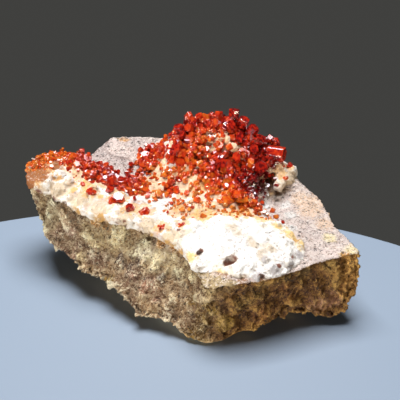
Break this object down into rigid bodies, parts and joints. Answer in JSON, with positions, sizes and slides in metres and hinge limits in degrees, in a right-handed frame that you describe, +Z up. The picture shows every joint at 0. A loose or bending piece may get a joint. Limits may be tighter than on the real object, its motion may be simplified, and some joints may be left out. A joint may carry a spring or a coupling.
{
  "type": "vanadinite on matrix",
  "caption": "Hand-sized mineral specimen: red hexagonal vanadinite crystals on a white barite crust over a broken block of pitted brown rock, standing on one flat break.",
  "frame": {"origin": "under the middle of the specimen, on the plane it rests on", "axes": "+X along its length, to the pointed right end; +Y to the back; +Z up"},
  "size_m": [0.1236, 0.085, 0.0604],
  "materials": {
    "host_rock": "rough broken rock, ochre brown on the sides and pinkish grey on the bare top, pitted all over",
    "barite_crust": "white to cream, finely crystalline and matte, stained ochre along the rim",
    "vanadinite_red": "translucent red crystal with a resinous gloss",
    "vanadinite_orange": "translucent orange crystal with a resinous gloss"
  },
  "bodies": {
    "root": {"host_rock": "host_rock", "barite_crust": "barite_crust", "vanadinite_mound": "vanadinite_red", "vanadinite_left_chain": "vanadinite_red", "vanadinite_left_ridge": "vanadinite_orange", "vanadinite_front_fringe": "vanadinite_orange", "vanadinite_crystal_1": "vanadinite_red", "vanadinite_crystal_2": "vanadinite_red", "vanadinite_crystal_3": "vanadinite_red", "vanadinite_crystal_4": "vanadinite_red", "vanadinite_crystal_5": "vanadinite_red", "vanadinite_crystal_6": "vanadinite_red", "vanadinite_crystal_7": "vanadinite_red"}
  },
  "joints": []
}
